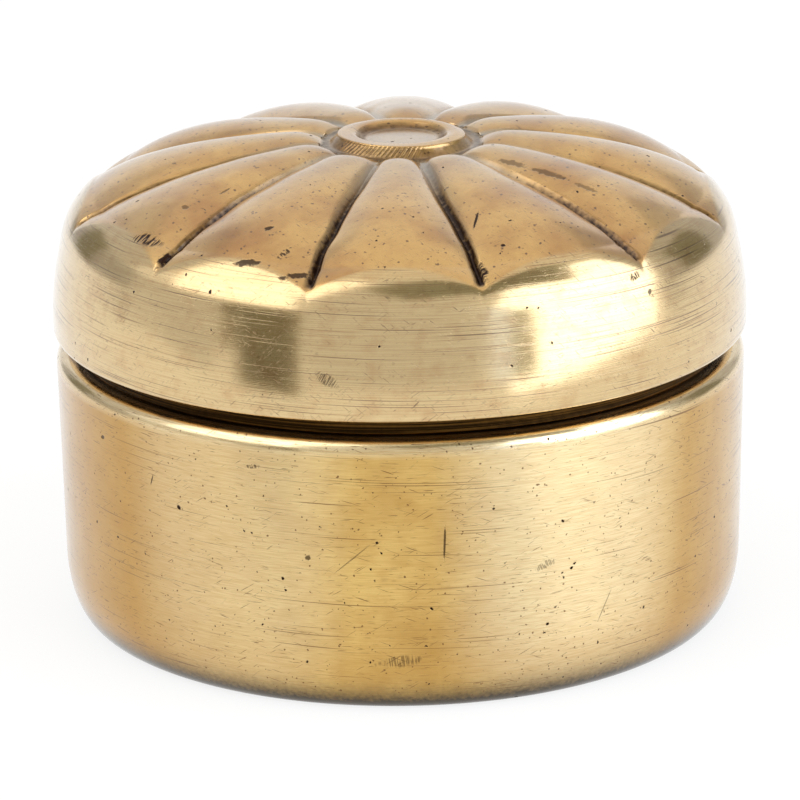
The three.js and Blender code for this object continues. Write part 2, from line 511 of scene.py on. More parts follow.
@dataclass(frozen=True)
class TurnedBrass:
    """Brass turned on a lathe and rubbed with fine abrasive, for the pot's outside.

    It is satin: it mirrors its surroundings as soft patches, hair-fine scratches run round it, and dark
    patina stays in its casting pits. Painted shade darkens its foot, its lower wall, its left and right
    sides and the ledge under the lid, and a painted highlight lightens its shoulder and two upright
    strips of its front.
    """

    colour: str = "E6C274"
    aged: str = "B8883C"
    painted_highlight: str = "F4E2B8"
    scratch: str = "6A4520"
    patina: str = "2E1C0E"
    # foot is the colour of the painted shade at the bottom edge.
    foot: str = "463A26"
    foot_heights: Pair = (7.0, 0.0)
    heel_shade_heights: Pair = (15.0, 5.0)
    shoulder_heights: Pair = (37.0, 38.6)
    etching: float = 0.75
    speckling: float = 0.85
    satin: Pair = (0.3, 0.38)
    shoulder_gloss: float = 0.14
    matt: float = 0.1
    depths: tuple[float, float, float] = (0.002, 0.006, 0.12)  # of grain, scratches and pits
    wax_ior: float = 1.33
    brushed: float = 0.6
    marks: tuple[Mark, ...] = (
        Mark(6.5, 49.9, 25.0, 2.6, 0.16, 88, ragged=0.3),
        Mark(-0.7, 49.2, 7.8, 3.0, 0.9, 8, 0.3, 0.7, 0.5),
        Mark(-15.1, 49.8, 22.6, 0.45, 0.4, 30, ragged=0.5),
        Mark(-8.1, 49.8, 22.7, 3.4, 0.09, 41, ragged=0.2, strength=0.5),
        Mark(22.9, 49.8, 20.3, 1.6, 0.6, 20, 0.25, 0.7, 0.5),
        Mark(-44.0, 49.8, 30.0, 0.9, 0.12, 70, ragged=0.4),
        Mark(-57.0, 49.8, 33.5, 0.5, 0.3, 20, ragged=0.5),
        Mark(-24.0, 49.8, 35.0, 1.1, 0.35, 8, 0.3, 0.4, 0.7),
        Mark(34.0, 49.8, 12.5, 2.6, 0.08, 62, ragged=0.2, strength=0.5))

    def material(self) -> bpy.types.Material:
        """Builds the material."""
        brass = Brass("turned_satin_brass")
        tree = brass.tree
        height = add(tree, "SeparateXYZ", {"Vector": brass.place}, "Z")
        grain = brass.scratches(3, 0.11, 0.36, 0.66)
        scratched = strongest(
            tree, brass.scratches(2.2, 0.13, 0.69, 0.75, seed=57),
            brass.scratches(22, 0.17, 0.68, 0.74, (0.02, 0.01), 31),
            brass.scratches(3.4, 0.16, 0.71, 0.77, (0.35, 0.22), 83),
            brass.scratches(2.4, 0.16, 0.72, 0.78, (-0.6, 0.3), 12))
        etched = add(tree, "Math", {0: scratched, 1: self.etching}, operation="MULTIPLY")
        specks = add(tree, "Math", {0: brass.pits(0.75, 0.17, 5), 1: self.speckling}, operation="MULTIPLY")
        pitted = strongest(
            tree, brass.pits(2.3, 0.25), brass.pits(7, 0.46, 13), *map(brass.mark, self.marks))
        # This layer paints shade on the ledge under the lid.
        patina_and_shade = add(tree, "Attribute", output="Fac", attribute_name="patina_and_shade")
        dark_patina_and_shade = strongest(tree, pitted, patina_and_shade)
        # Painted shade darkens the wall's left and right sides, and a painted highlight lightens two
        # upright strips left and right of its front.
        painted_side_shade = strongest(tree, brass.facing(-64, 0.72, 0.96, 0.75), brass.facing(61, 0.87, 0.98, 0.5))
        painted_side_highlight = strongest(tree, brass.facing(29, 0.9, 0.99, 0.7), brass.facing(-29, 0.92, 0.99, 0.45))
        # The shoulder ramp makes the shoulder glossier; the heel and foot ramps paint shade that darkens
        # the wall towards the bottom.
        ramps = ((self.shoulder_heights, "LINEAR"), (self.heel_shade_heights, "SMOOTHSTEP"),
                 (self.foot_heights, "SMOOTHSTEP"))
        shoulder, heel_shade, low = (
            add(tree, "MapRange", {"Value": height, "From Min": start, "From Max": full}, "Result",
                interpolation_type=ramp) for (start, full), ramp in ramps)
        # The foot's painted shade is whole at the very bottom and breaks up into crumbs above it.
        foot_shade = add(tree, "Math", {0: brass.patches(0.6, 0.25, 0.7, 5, 9), 1: 0.3, 2: low},
                     operation="MULTIPLY_ADD")
        foot_shade = add(tree, "Math", {0: foot_shade, 1: low}, operation="MULTIPLY", use_clamp=True)
        colour = brass.layered(
            self.colour, (brass.patches(16, 0.44, 0.85, 5), 1, self.aged),
            (brass.patches(3.5, 0.45, 0.8, 6, 29), 0.4, self.aged), (painted_side_shade, 1, self.aged),
            # A painted highlight lies on the two front strips and on the shoulder's rounding.
            (painted_side_highlight, 1, self.painted_highlight), (shoulder, 0.75, self.painted_highlight), (grain, 0.3, self.aged),
            (heel_shade, 0.25, self.aged), (foot_shade, 1, self.foot),
            # The patina colour fills the pits and marks, and paints shade on the ledge under the lid.
            (strongest(tree, etched, specks), 1, self.scratch), (dark_patina_and_shade, 1, self.patina))
        fine, coarse = self.satin
        roughness = add(tree, "MapRange", {"Value": brass.patches(7, 0.3, 0.7, seed=21), "To Min": fine,
                                           "To Max": coarse}, "Result")
        for pattern, change in ((shoulder, -self.shoulder_gloss), (dark_patina_and_shade, self.matt)):
            roughness = add(tree, "Math", {0: pattern, 1: change, 2: roughness}, operation="MULTIPLY_ADD")
        dents = list(zip((grain, scratched, pitted), self.depths))
        return brass.done(colour, roughness, dents, brass.film(dark_patina_and_shade), self.wax_ior, self.brushed)


@dataclass(frozen=True)
class RubbedBrass:
    """Brass filed and polished by hand, for the lid's outside.

    The band is nearly a mirror with scratches round it, the petals keep a warm brown film of wax and
    age, black-brown patina is left in the grooves, pits and file marks, painted shade darkens the
    crease round the boss, its side and its well's wall, and a painted grey reflection lies in the
    hollows round the boss and on the well's floor.
    """

    polished: str = "DDC189"
    waxed: str = "DDB26A"
    aged: str = "B27D3E"
    scratch: str = "664220"
    patina: str = "331E12"
    # colour of the painted grey reflection round the boss
    painted_grey_reflection: str = "BDB8AC"
    etching: float = 0.75
    speckling: Pair = (0.85, 0.2)  # of the petals and the band
    gloss: Pair = (0.24, 0.17)  # roughness of the same two
    matt: float = 0.3
    depths: tuple[float, float, float] = (0.002, 0.006, 0.06)  # of grain, scratches and pits
    wax_ior: float = 1.7
    marks: tuple[Mark, ...] = (
        Mark(42.0, 48.1, 58.3, 1.1, 0.5, 15, 0.2, 0.5, 0.9),
        Mark(44.6, 48.8, 55.8, 0.4, 0.4, ragged=0.5),
        Mark(-11.5, 50.2, 48.3, 1.9, 0.8, -28, 0.2, 0.4, 0.7),
        Mark(-51.5, 44.4, 62.6, 3.0, 1.1, 8, 0.5, 0.3, 1.0, True),
        Mark(-50.5, 31.3, 68.1, 1.3, 0.22, 95, 0.0, 0.5, 0.6, True),
        Mark(-52.1, 37.5, 66.3, 0.7, 0.5, 0, 0.0, 0.5, 0.6, True),
        Mark(-27.1, 38.8, 65.8, 0.7, 0.4, 40, 0.0, 0.9, 0.9, True),
        Mark(-21.5, 42.4, 63.9, 1.2, 0.5, 60, 0.4, 0.6, 0.9, True),
        Mark(-27.0, 44.8, 62.2, 1.7, 0.6, 10, 0.0, 1.0, 0.9, True),
        Mark(-44.8, 45.6, 61.7, 2.0, 0.7, 78, 0.0, 0.7, 1.0, True),
        Mark(-17.5, 45.4, 61.7, 2.2, 0.5, 20, 0.0, 0.9, 0.9, True),
        Mark(14.4, 44.9, 62.2, 2.4, 0.9, 88, 0.5, 0.4, 1.0, True),
        Mark(43.8, 44.6, 62.6, 2.6, 0.6, 84, 0.0, 0.8, 0.9, True),
        Mark(17.3, 35.2, 67.1, 2.1, 0.24, 60, 0.0, 0.35, 1.0, True),
        Mark(19.9, 41.4, 64.6, 0.4, 0.3, 0, 0.0, 0.3, 1.0, True),
        Mark(49.0, 21.5, 69.6, 2.6, 0.6, 96, 0.0, 1.0, 0.55, True),
        Mark(50.5, 27.5, 68.8, 3.2, 0.6, 98, 0.0, 1.1, 0.6, True),
        Mark(51.5, 33.5, 67.6, 2.0, 0.5, 96, 0.0, 1.1, 0.5, True),
        Mark(68.9, 19.0, 69.9, 0.8, 0.25, 60, 0.0, 0.4, 0.7, True),
        Mark(71.7, 24.3, 69.3, 1.0, 0.3, 85, 0.0, 0.4, 0.8, True))

    def material(self) -> bpy.types.Material:
        """Builds the material."""
        brass = Brass("hand_rubbed_brass")
        tree = brass.tree
        polish, groove, grey_reflection_mask = (add(tree, "Attribute", output="Fac", attribute_name=name)
                                 for name in ("polish", "patina_and_shade", "painted_grey_reflection"))
        specks, sheen = (add(tree, "MapRange", {"Value": polish, "To Min": petal, "To Max": band}, "Result")
                         for petal, band in (self.speckling, self.gloss))
        grain, long = (add(tree, "Math", {0: lines, 1: polish}, operation="MULTIPLY")
                       for lines in (brass.scratches(9, 0.11, 0.38, 0.68, seed=3),
                                     brass.scratches(22, 0.17, 0.63, 0.7, (0.02, -0.01), 41)))
        scratched = strongest(
            tree, long, brass.scratches(1.3, 0.14, 0.7, 0.75, (0.9, 0.5), 67),
            brass.scratches(1.3, 0.14, 0.7, 0.75, (-0.7, 0.9), 91))
        etched = add(tree, "Math", {0: scratched, 1: self.etching}, operation="MULTIPLY")
        specks = add(tree, "Math", {0: specks, 1: brass.pits(0.85, 0.25, 23)}, operation="MULTIPLY")
        pitted = strongest(
            tree, brass.pits(2.4, 0.27, 3), brass.pits(8, 0.42, 19), *map(brass.mark, self.marks))
        # Patina packed in the grooves, and painted shade on the boss, is a little broken up, and full where
        # most is left.
        broken = add(tree, "MapRange", {"Value": brass.patches(0.8, 0.3, 0.7, 4, 8), "To Min": 0.8,
                                        "To Max": 1.3}, "Result")
        packed_patina_and_shade = add(tree, "Math", {0: groove, 1: broken}, operation="MULTIPLY", use_clamp=True)
        dark_patina_and_shade = strongest(tree, pitted, packed_patina_and_shade)
        petals = brass.layered(self.waxed, (brass.patches(9, 0.4, 0.75, 6, 2), 1, self.aged),
                               (brass.patches(1.4, 0.45, 0.8, 3, 37), 0.3, self.aged))
        band = brass.layered(self.polished, (brass.patches(2.4, 0.5, 0.8, 6, 51), 0.4, self.aged))
        tone = add(tree, "MixRGB", {"Fac": polish, "Color1": petals, "Color2": band})
        colour = brass.layered(
            tone, (grain, 0.3, self.aged), (strongest(tree, etched, specks), 1, self.scratch),
            # Over these lie a painted grey reflection round the boss, then the patina colour, which also
            # paints shade on the boss.
            (grey_reflection_mask, 1, self.painted_grey_reflection), (dark_patina_and_shade, 1, self.patina))
        roughness = add(tree, "Math", {0: dark_patina_and_shade, 1: self.matt, 2: sheen}, operation="MULTIPLY_ADD")
        dents = list(zip((grain, scratched, pitted), self.depths))
        return brass.done(colour, roughness, dents, brass.film(dark_patina_and_shade), self.wax_ior)


@dataclass(frozen=True)
class ShadedRecessBrass:
    """Turned brass for the neck and the corner of the ledge, which lie under the lid's edge.

    Its colour is painted black-brown as shade under the lid, and its turning lines carry a painted golden
    glint.
    """

    brown_tone: str = "2A1C0C"
    painted_highlight: str = "7A5626"
    roughness: Pair = (0.3, 0.5)
    depth: float = 0.02

    def material(self) -> bpy.types.Material:
        """Builds the material."""
        brass = Brass("shaded_recess_brass")
        tree = brass.tree
        lines = brass.scratches(30, 0.22, 0.45, 0.62, seed=29)
        crumbs = brass.patches(0.9, 0.35, 0.6, 4, 3)
        # Painted black-brown shade under the lid, with a painted golden glint on the turning lines.
        colour = brass.layered(self.brown_tone, (lines, 0.5, self.painted_highlight))
        fine, coarse = self.roughness
        roughness = add(tree, "MapRange", {"Value": crumbs, "To Min": fine, "To Max": coarse}, "Result")
        return brass.done(colour, roughness, [(lines, self.depth), (crumbs, self.depth)])


@dataclass(frozen=True)
class CastBrass:
    """Brass as it left the mould, brushed clean, for both insides and the lid's rebate.

    It is dull and darker than the outside, with a sandy skin and brown tarnish in patches.
    """

    colour: str = "B99B63"
    brown_tone: str = "7C6238"
    pitted: str = "3A2F22"
    roughness: Pair = (0.42, 0.6)
    depths: tuple[float, float, float] = (0.12, 0.05, 0.02)  # of lumps, sand and turning rings

    def material(self) -> bpy.types.Material:
        """Builds the material."""
        brass = Brass("rough_cast_brass")
        tree = brass.tree
        sand = brass.patches(0.7, 0.3, 0.7, 4)
        lumps = brass.patches(5, 0.3, 0.7, 2, 4)
        rings = brass.scratches(40, 0.5, 0.5, 0.62, seed=11)
        colour = brass.layered(self.colour, (brass.patches(9, 0.4, 0.65, 5, 17), 1, self.brown_tone),
                               (brass.pits(3, 0.4, 7), 1, self.pitted))
        fine, coarse = self.roughness
        roughness = add(tree, "MapRange", {"Value": sand, "To Min": fine, "To Max": coarse}, "Result")
        return brass.done(colour, roughness, list(zip((lumps, sand, rings), self.depths)))


@dataclass
class PotBody:
    """The cast cup, turned outside, with its foot, shoulder, ledge and neck."""

    node: str = "pot_body"
    low_radius: float = 49.6
    underside_radius: float = 46.0
    rubbed_edge: float = 0.8  # outer strip of the underside that is finished as the wall is
    foot_rise: float = 9.6
    ledge_height: float = 39.6
    shoulder_round: float = 1.9
    neck_radius: float = 46.5
    neck_wall: float = 2.5
    lip_round: float = 0.8
    crease_round: float = 0.4
    ledge_shade_strip: float = 0.7  # inner strip of the ledge that is painted all dark, as shade under the lid
    ledge_shade_reach: float = 1.9  # how far from the neck that painted shade fades out
    wall: float = 3.4
    floor: float = 3.8
    inner_corner: float = 7.0
    arc_steps: tuple[int, ...] = (22, 14, 8, 5, 12)  # in foot, shoulder, lip, crease and inner corner
    steps: int = 288

    def outline(self) -> Outline:
        """Draws the profile from the middle of the underside round to the middle of the floor."""
        low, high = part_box(self.node)
        radius, top = high.x / MM, high.z / MM
        foot_steps, shoulder_steps, lip_steps, crease_steps, corner_steps = self.arc_steps
        neck, ledge = self.neck_radius, self.ledge_height
        shape = Outline()
        shape.at(0, low.z / MM, Zone.INSIDE)
        shape.to(self.underside_radius - self.rubbed_edge, 0, Zone.INSIDE, 4)
        foot = (self.low_radius - self.underside_radius, self.foot_rise)
        shape.arc((self.underside_radius, self.foot_rise), foot, -90, 0, Zone.WALL, foot_steps)
        shoulder = (radius - self.shoulder_round, ledge - self.shoulder_round)
        shape.to(radius, shoulder[1], Zone.WALL)
        shape.arc(shoulder, (self.shoulder_round,) * 2, 0, 90, Zone.WALL, shoulder_steps)
        shape.to(neck + self.ledge_shade_strip, ledge, Zone.WALL, 0.2)
        shape.to(neck + self.crease_round, ledge, Zone.RECESS, 0.3)
        crease = (neck + self.crease_round, ledge + self.crease_round)
        shape.arc(crease, (self.crease_round,) * 2, 270, 180, Zone.RECESS, crease_steps)
        lip = top - self.lip_round
        shape.to(neck, lip, Zone.RECESS, 0.8)
        shape.arc((neck - self.lip_round, lip), (self.lip_round,) * 2, 0, 90, Zone.RECESS, lip_steps)
        bore = neck - self.neck_wall
        shape.arc((bore + self.lip_round, lip), (self.lip_round,) * 2, 90, 180, Zone.INSIDE, lip_steps)
        shape.to(bore, ledge, Zone.INSIDE)
        inner = self.low_radius - self.wall
        shape.to(inner, ledge - self.wall, Zone.INSIDE)
        corner = (inner - self.inner_corner, self.floor + self.inner_corner)
        shape.to(inner, corner[1], Zone.INSIDE, 3)
        shape.arc(corner, (self.inner_corner,) * 2, 0, -90, Zone.INSIDE, corner_steps)
        shape.to(0, self.floor, Zone.INSIDE, 3)
        return shape

    def paint_ledge_shade(self, bm: bmesh.types.BMesh) -> None:
        """Marks where painted shade under the lid fades out on the ledge."""
        patina_and_shade = bm.verts.layers.float.new("patina_and_shade")
        fade = self.neck_radius + self.ledge_shade_reach, self.neck_radius + self.ledge_shade_strip
        for vert in bm.verts:
            if vert.co.z > (self.ledge_height - 0.2) * MM:
                vert[patina_and_shade] = smoothstep(*fade, vert.co.xy.length / MM)

    def build(self, outside: bpy.types.Material, inside: bpy.types.Material,
              recess: bpy.types.Material) -> bpy.types.Object:
        """Builds the pot.

        Args:
            outside: finish of the wall and shoulder.
            inside: finish of the bore, floor and underside.
            recess: finish of the neck and the ledge's inner part, which paints them dark as shade under the
                lid.

        Returns:
            The finished piece, riding on its body.
        """
        bm = self.outline().turned(self.steps)
        self.paint_ledge_shade(bm)
        piece = finished(bm, "cast_pot", outside, {Zone.INSIDE: inside, Zone.RECESS: recess})
        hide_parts(self.node)
        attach(piece, "pot")
        return piece


@dataclass(frozen=True)
class Groove:
    """One hand-filed groove between two petals.

    Attributes:
        rim_shift: how far its outer end is off its even place round the lid, in degrees.
        boss_shift: the same for its inner end.
        lean: how far its deepest line lies off its middle, as a share of its half width.
        patina: how dark the patina in it is, from 0 to 1.
    """

    rim_shift: float = 0.0
    boss_shift: float = 0.0
    lean: float = 0.0
    patina: float = 0.75


@dataclass
class Petals:
    """The fluting: twelve petals between hand-filed grooves, cut off outside by the turned band."""

    turn: float = -0.9
    grooves: tuple[Groove, ...] = (
        Groove(0.0, -1.6, 0.2), Groove(0.0, 0.0, -0.3), Groove(-3.0, -1.5, 0.1, 0.75),
        Groove(0.0, -1.0, -0.2, 0.8), Groove(1.6, -2.0, 0.1, 0.9), Groove(0.6, 0.5, 0.35, 1.0),
        Groove(-0.6, -3.2, 0.35, 1.0), Groove(0.3, -1.8, -0.1, 0.95), Groove(-0.9, 0.2, -0.2, 0.8),
        Groove(-1.5, 1.0, 0.2, 0.7), Groove(0.0, 0.0, 0.0), Groove(0.0, -2.1, -0.3))
    outer_radius: float = 47.0
    inner_radius: float = 12.0
    full_radius: float = 30.0  # where the fluting has its full depth
    inner_share: float = 0.6  # share of it that is left at the boss
    fade_run: float = 14.0  # length over which the outer values below turn into the others
    relief: float = 0.14  # how far the crests lie under the turned outline
    crown: float = 2.1  # how far a petal falls from its crest to its groove
    outer_crown: float = 1.2
    crown_power: float = 2.1
    cut: float = 0.65  # how deep the file went below that
    outer_cut: float = 0.9
    outer_half_width: float = 0.75
    inner_half_width: float = 1.45
    inner_width_radius: float = 15.0
    wander: float = 0.22  # how far the file strayed sideways
    shoulder_run: float = 3.6
    shoulder_slope: float = 0.28
    blend: float = 0.2  # how round the corner is where the band cuts the petals off
    crowding: float = 0.75
    centre_shift: float = 0.6  # how far the boss was filed off centre, towards +X
    tip_radius: float = 11.2
    tip_length: float = 6.0
    tip_rounding: float = 1.0
    tip_power: float = 2.6

    def groove_angle(self, index: int, radius: float) -> float:
        """Angle of a groove's middle line.

        Args:
            index: which groove, counted from the one at -165 degrees; any whole number.
            radius: distance from the axis.

        Returns:
            The angle in degrees from the front.
        """
        count = len(self.grooves)
        groove = self.grooves[index % count]
        out = smoothstep(self.inner_radius, self.outer_radius, radius)
        course = Vector((radius * 0.22, 7.3 * (index % count), 1.5))
        wander = self.wander * noise.noise(course) / max(radius, 8)
        shift = mix(groove.boss_shift, groove.rim_shift, out) + math.degrees(wander)
        return self.turn - 180 + (index + 0.5) * 360 / count + shift

    def half_width(self, radius: float) -> float:
        """Half the width of a groove at a radius."""
        out = (radius - self.inner_width_radius) / (self.outer_radius - self.inner_width_radius)
        return mix(self.inner_half_width, self.outer_half_width, min(max(out, 0.0), 1.0))

    def crowd(self, angle: float, radius: float) -> tuple[float, float, float, Groove]:
        """Moves an evenly spaced angle so that its petal's points gather at the grooves.

        Args:
            angle: the even angle in degrees.
            radius: distance from the axis.

        Returns:
            The new angle in degrees, its share of the way from the petal's middle to a groove, how far it
            lies from that groove's deepest line, as a share of the groove's half width, and the groove.
        """
        pitch = 360 / len(self.grooves)
        steps = (angle - self.turn + 180) / pitch - 0.5
        index = math.floor(steps)
        local = steps - index - 0.5
        local += self.crowding * math.sin(math.tau * local) / math.tau
        first = self.groove_angle(index, radius)
        last = self.groove_angle(index + 1, radius)
        nearest = index + (1 if local > 0 else 0)
        lateral = (local - math.copysign(0.5, local)) * math.radians(last - first) * radius
        across = min(max(lateral / self.half_width(radius), -1.0), 1.0)
        groove = self.grooves[nearest % len(self.grooves)]
        across = (across - groove.lean) / (1 - groove.lean * across)
        return mix(first, last, local + 0.5), 2 * abs(local), abs(across), groove

    def fall(self, share: float, across: float, radius: float, run: float) -> float:
        """How far the petals' own shape lies below the turned outline.

        Args:
            share: 0 on a petal's middle line and 1 in a groove.
            across: 0 on the groove's deepest line and 1 outside it.
            radius: distance from the axis.
            run: distance inwards from where the grooves end.

        Returns:
            The depth in millimetres, negative where the turned outline cuts the petals off.
        """
        full = mix(self.inner_share, 1.0, smoothstep(self.inner_radius, self.full_radius, radius))
        inward = smoothstep(0, self.fade_run, run)
        valley = mix(self.outer_cut, self.cut, inward) * full * (1 - across ** 2) ** 2
        slope = self.shoulder_slope * max(self.shoulder_run - run, 0.0)
        crown = mix(self.outer_crown, self.crown, inward) * full * share ** self.crown_power
        return self.relief + crown + valley * smoothstep(-0.6, 1.0, run) - slope

    def depth(self, fall: float) -> float:
        """Rounds the corner between the petals' own shape and the turned outline."""
        return (fall + math.sqrt(fall * fall + self.blend ** 2)) / 2

    def opening(self, share: float, radius: float) -> float:
        """0 at the petals' rounded inner ends and 1 where they have reached their full height."""
        start = self.tip_radius + self.tip_rounding * share ** 3
        along = min(max((radius - start) / self.tip_length, 0.0), 1.0)
        return 1 - (1 - along) ** self.tip_power


@dataclass
class Lid:
    """The cast cap: polished band, fluted dome, boss with its well, and the step that hangs on the neck."""

    node: str = "lid"
    petals: Petals = field(default_factory=Petals)
    edge_round: float = 0.9
    rebate_radius: float = 47.0
    seat_height: float = 48.8
    seat_chamfer: float = 0.5
    dome_radius: float = 48.9
    dome_base: float = 53.4
    dome_rise: float = 17.2
    squareness: float = 2.5
    dome_wall: float = 4.3
    band_slopes: tuple[Pair, ...] = (  # heights, and how many degrees the band leans in there
        (43.1, 0.0), (46.0, 2.4), (48.0, 5.4), (50.0, 8.4), (52.0, 10.9), (54.0, 11.9), (56.4, 11.9))
    crest_gaps: tuple[Pair, ...] = ((38.0, 0.36), (15.0, 0.85), (0.0, 0.3))  # from a radius on
    ceiling_steps: int = 14
    valley_radius: float = 11.2
    valley_height: float = 68.7
    boss_foot_round: Pair = (0.5, 0.35)
    boss_lip_radius: float = 9.1
    boss_lip_round: Pair = (0.3, 0.27)
    boss_soft_radius: float = 7.6
    boss_crisp_side: float = -45.0  # the side on which the rim isn't worn down
    boss_slump: float = 0.55
    well_radius: float = 6.3
    well_depth: float = 1.1
    well_lip_round: Pair = (1.1, 0.55)
    well_floor_round: Pair = (1.1, 0.5)
    well_dish: float = 0.12
    file_marks: Pair = (-66.0, 24.0)
    file_mark_pitch: float = 0.67
    file_mark_depth: float = 0.14
    file_mark_slant: float = 0.8
    # Painted shade on the boss lies in the crease at its foot, on its side and on the well's wall;
    # filed_patina is patina in the file marks.
    crease_shade: float = 0.65
    side_shade: float = 0.5
    filed_patina: float = 0.7
    well_wall_shade: float = 0.62
    steps: int = 420

    def dome_height(self, radius: float, inset: float = 0.0) -> float:
        """Height of the dome's superellipse at a radius, or of the one that lies inset inside it."""
        share = 1 - (radius / (self.dome_radius - inset)) ** self.squareness
        return self.dome_base + (self.dome_rise - inset) * max(share, 0.0) ** (1 / self.squareness)

    def band_points(self, steps: int = 5) -> list[Pair]:
        """Radius and height of points up the band, from where its edge is round to where the dome starts.

        Args:
            steps: number of stretches between two of the band's listed slopes.

        Returns:
            The points from the lowest up.
        """
        (height, lean), *lower = reversed(self.band_slopes)
        points = [(self.dome_radius_at(height), height)]
        for next_height, next_lean in lower:
            for index in range(steps):
                slope = math.radians(mix(lean, next_lean, (index + 0.5) / steps))
                drop = (height - next_height) / steps
                points.append((points[-1][0] + drop * math.tan(slope), points[-1][1] - drop))
            height, lean = next_height, next_lean
        return points[::-1]

    def dome_radius_at(self, height: float) -> float:
        """Radius of the dome's superellipse at a height."""
        share = 1 - ((height - self.dome_base) / self.dome_rise) ** self.squareness
        return self.dome_radius * share ** (1 / self.squareness)

    def crest_points(self) -> list[Pair]:
        """Radius and distance along the crest line of points from the band up to the petals' tips."""
        probes = 4000
        radii = [self.dome_radius * math.sin(math.pi / 2 * (1 - index / probes)) for index in range(probes)]
        points = [(self.dome_radius, -1.0)]
        run = 0.0
        place = (radii[0], self.dome_height(radii[0]))
        for radius in radii[1:]:
            if radius < self.valley_radius + 0.15:
                break
            nearer = (radius, self.dome_height(radius))
            run += math.dist(place, nearer)
            place = nearer
            if run - points[-1][1] >= next(gap for start, gap in self.crest_gaps if radius > start):
                points.append((radius, run))
        return points

    def outline(self) -> Outline:
        """Draws the profile from the rebate over the outside to the middle, and back along the inside."""
        low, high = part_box(self.node)
        radius, bottom, top = high.x / MM, low.z / MM, high.z / MM
        shape = Outline()
        shape.at(self.rebate_radius, bottom, Zone.INSIDE)
        band = self.band_points()
        widest = min(band[0][0], radius)
        shape.to(widest - self.edge_round, bottom, Zone.BAND, 0.7)
        edge = (widest - self.edge_round, bottom + self.edge_round)
        shape.arc(edge, (self.edge_round,) * 2, -90, 0, Zone.BAND, 10)
        for reach, height in band[1:]:
            shape.at(min(reach, radius), height, Zone.BAND)
        crest = self.crest_points()
        end = next(run for reach, run in crest if reach <= self.petals.outer_radius)
        for reach, run in crest:
            if reach < band[-1][0] - 0.02:
                shape.at(reach, self.dome_height(reach), Zone.DOME, run - end)
        self.add_boss(shape, top)
        self.add_inside(shape)
        return shape

    def add_boss(self, shape: Outline, top: float) -> None:
        """Adds the boss and the well.

        Args:
            shape: the outline that gets them.
            top: height of the boss's rim.
        """
        lip, well = self.boss_lip_radius, self.well_radius
        foot, floor = self.valley_height, top - self.well_depth
        shape.at(self.valley_radius, foot, Zone.BOSS)
        shape.arc((lip + 1.5, foot + 0.35), self.boss_foot_round, 270, 215, Zone.BOSS, 4)
        shape.to(lip + 0.1, top - 0.3, Zone.BOSS, 0.14)
        shape.arc((lip - 0.2, top - 0.27), self.boss_lip_round, 10, 90, Zone.BOSS, 6)
        shape.to(well + 1.4, top - 0.04, Zone.BOSS, 0.5)
        shape.arc((well + 1.2, top - 0.6), self.well_lip_round, 85, 160, Zone.BOSS, 9)
        shape.arc((well - 1.3, floor + 0.55), self.well_floor_round, -20, -90, Zone.BOSS, 9)
        shape.to(0, floor + self.well_dish, Zone.BOSS, 1.4)

    def add_inside(self, shape: Outline) -> None:
        """Adds the ceiling, the bore, the seat and the rebate to an outline."""
        bore = self.dome_radius - self.dome_wall
        for index in range(self.ceiling_steps + 1):
            reach = bore * math.sin(math.pi / 2 * index / self.ceiling_steps)
            shape.at(reach, self.dome_height(reach, self.dome_wall), Zone.INSIDE)
        shape.to(bore, self.seat_height + self.seat_chamfer, Zone.INSIDE)
        shape.to(bore + self.seat_chamfer, self.seat_height, Zone.INSIDE)
        shape.to(self.rebate_radius, self.seat_height, Zone.INSIDE)
        shape.to(self.rebate_radius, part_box(self.node)[0].z / MM, Zone.INSIDE)

    def carve(self, bm: bmesh.types.BMesh) -> None:
        """Presses the petals and grooves into the turned dome and marks patina, painted shade, a painted
        grey reflection and polish.
        """
        layers = bm.verts.layers.float
        patina_and_shade, polish, painted_grey_reflection = (layers.new(name) for name in ("patina_and_shade", "polish", "painted_grey_reflection"))
        zones, runs = layers["zone"], layers["run"]
        petals = self.petals
        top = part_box(self.node)[1].z
        for vert in bm.verts:
            zone = round(vert[zones])
            radius = vert.co.xy.length / MM
            angle = math.degrees(math.atan2(vert.co.x, -vert.co.y))
            moved, share, across, groove = petals.crowd(angle, radius)
            if zone == Zone.BOSS:
                moved = angle
            height = vert.co.z
            sunk = Vector((0, 0, 0))
            if zone == Zone.BAND:
                vert[polish] = 1.0
            if zone == Zone.DOME:
                run = vert[runs]
                fall = petals.fall(share, across, radius, run)
                sunk = -vert.normal * petals.depth(fall) * MM
                opening = petals.opening(share, radius)
                crest = min(height + sunk.z, top)
                sunk.z = mix(self.valley_height * MM, crest, opening) - height
                # The band's polish ends where the petals' own shape starts.
                vert[polish] = smoothstep(0.1, -0.06, fall) * smoothstep(7, 5, run)
                # Patina is a thin line near the boss and fills the groove farther out.
                line = (1 - across ** 2) ** mix(1.8, 0.4, smoothstep(18, 40, radius))
                near_boss = smoothstep(30, 15, radius)
                vert[patina_and_shade] = groove.patina * line * smoothstep(-0.5, 0.3, run) * mix(1.0, 0.3, near_boss)
                # A painted grey reflection lies in the grooves and hollows near the boss.
                vert[painted_grey_reflection] = near_boss * max(0.85 * line, 0.22)
            turned = Quaternion((0, 0, 1), math.radians(moved - angle))
            vert.co = turned @ (vert.co + sunk)
            if zone in (Zone.DOME, Zone.BOSS):
                vert.co.x += petals.centre_shift * MM * max(1 - (radius / petals.outer_radius) ** 2, 0.0)
            if zone == Zone.BOSS:
                self.shape_boss(vert, radius, angle)
                vert[patina_and_shade] = self.boss_shade_and_patina(radius, angle, height / MM, top / MM)
                # A painted grey reflection lies round the boss's foot and on the well's floor.
                foot = smoothstep(self.boss_lip_radius + 0.8, self.valley_radius, radius)
                vert[painted_grey_reflection] = max(0.6 * foot, 0.5 * smoothstep(5.6, 4.8, radius))

